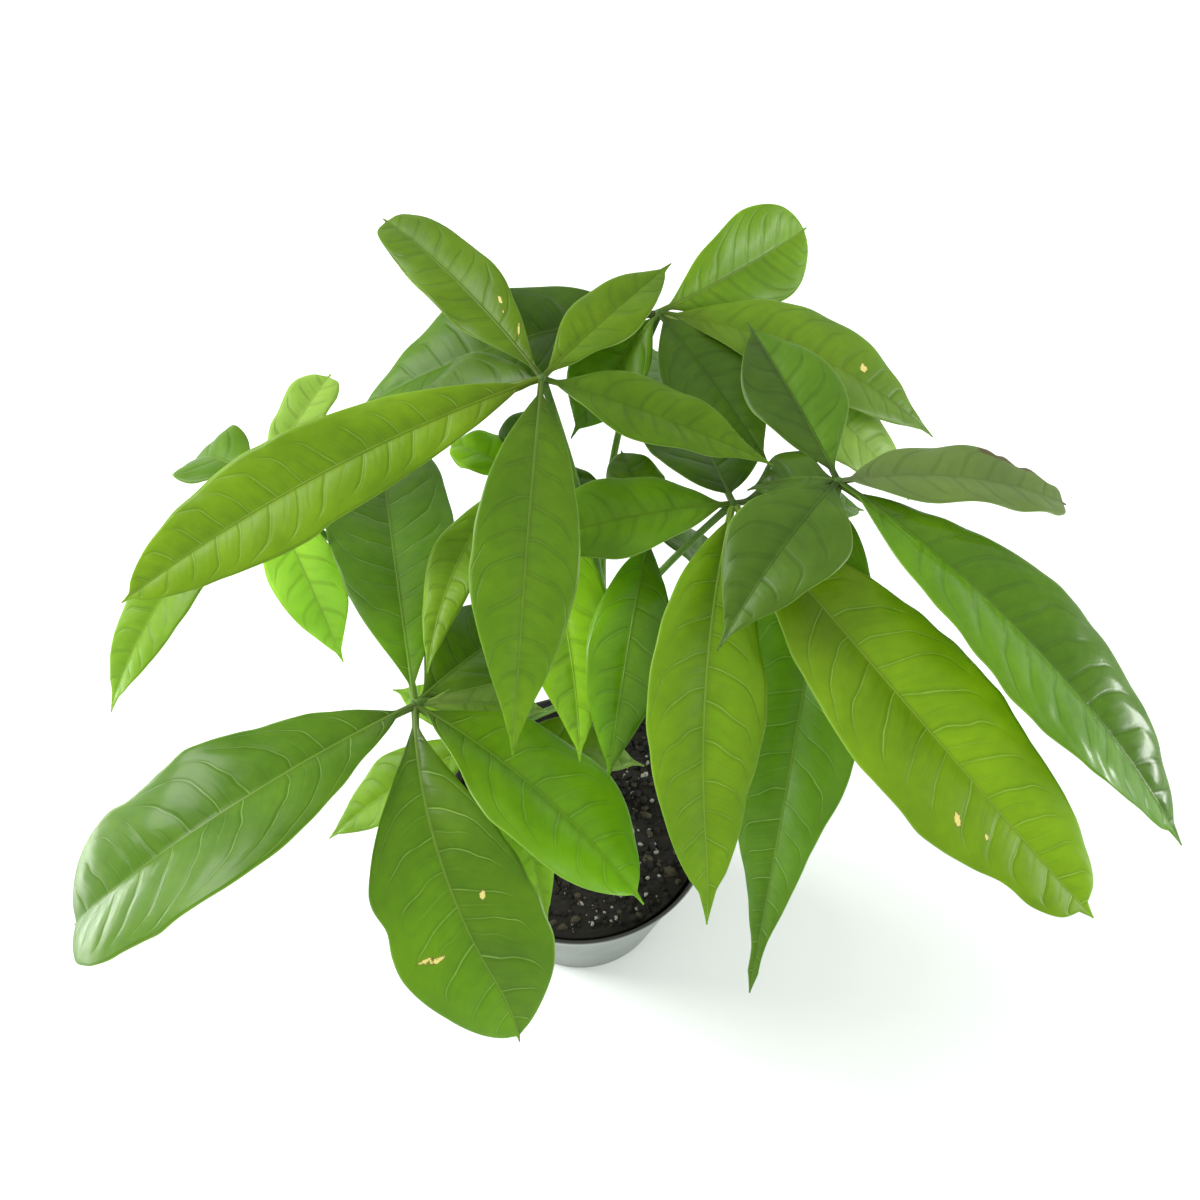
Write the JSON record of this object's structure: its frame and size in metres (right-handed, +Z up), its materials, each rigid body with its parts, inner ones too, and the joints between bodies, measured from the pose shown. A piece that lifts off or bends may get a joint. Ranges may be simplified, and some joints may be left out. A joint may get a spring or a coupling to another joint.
{
  "type": "potted plant",
  "caption": "Young single-stemmed money tree: palmate compound leaves on long arching petioles, rooted in soil in a plain tapered nursery pot.",
  "frame": {"origin": "centre of the pot's flat underside", "axes": "+Z up along the pot's axis, +X to the right of the view that the broadest leaves face, -Y towards the side they hang over"},
  "size_m": [0.397, 0.2901, 0.2963],
  "materials": {
    "pot_plastic": "smooth moulded, pale grey",
    "soil_mix": "rough, crumbled, damp",
    "bark": "fine ridged, grey-green",
    "leaf_green": "waxy, half gloss"
  },
  "bodies": {
    "root": {"pot": "pot_plastic", "soil": "soil_mix", "trunk": "bark", "leaf_top": "leaf_green", "leaf_left": "leaf_green", "leaf_front": "leaf_green", "leaf_back": "leaf_green", "leaf_right": "leaf_green", "leaf_right_low": "leaf_green", "leaf_middle": "leaf_green", "leaf_inner": "leaf_green", "leaf_low": "leaf_green"}
  },
  "joints": []
}
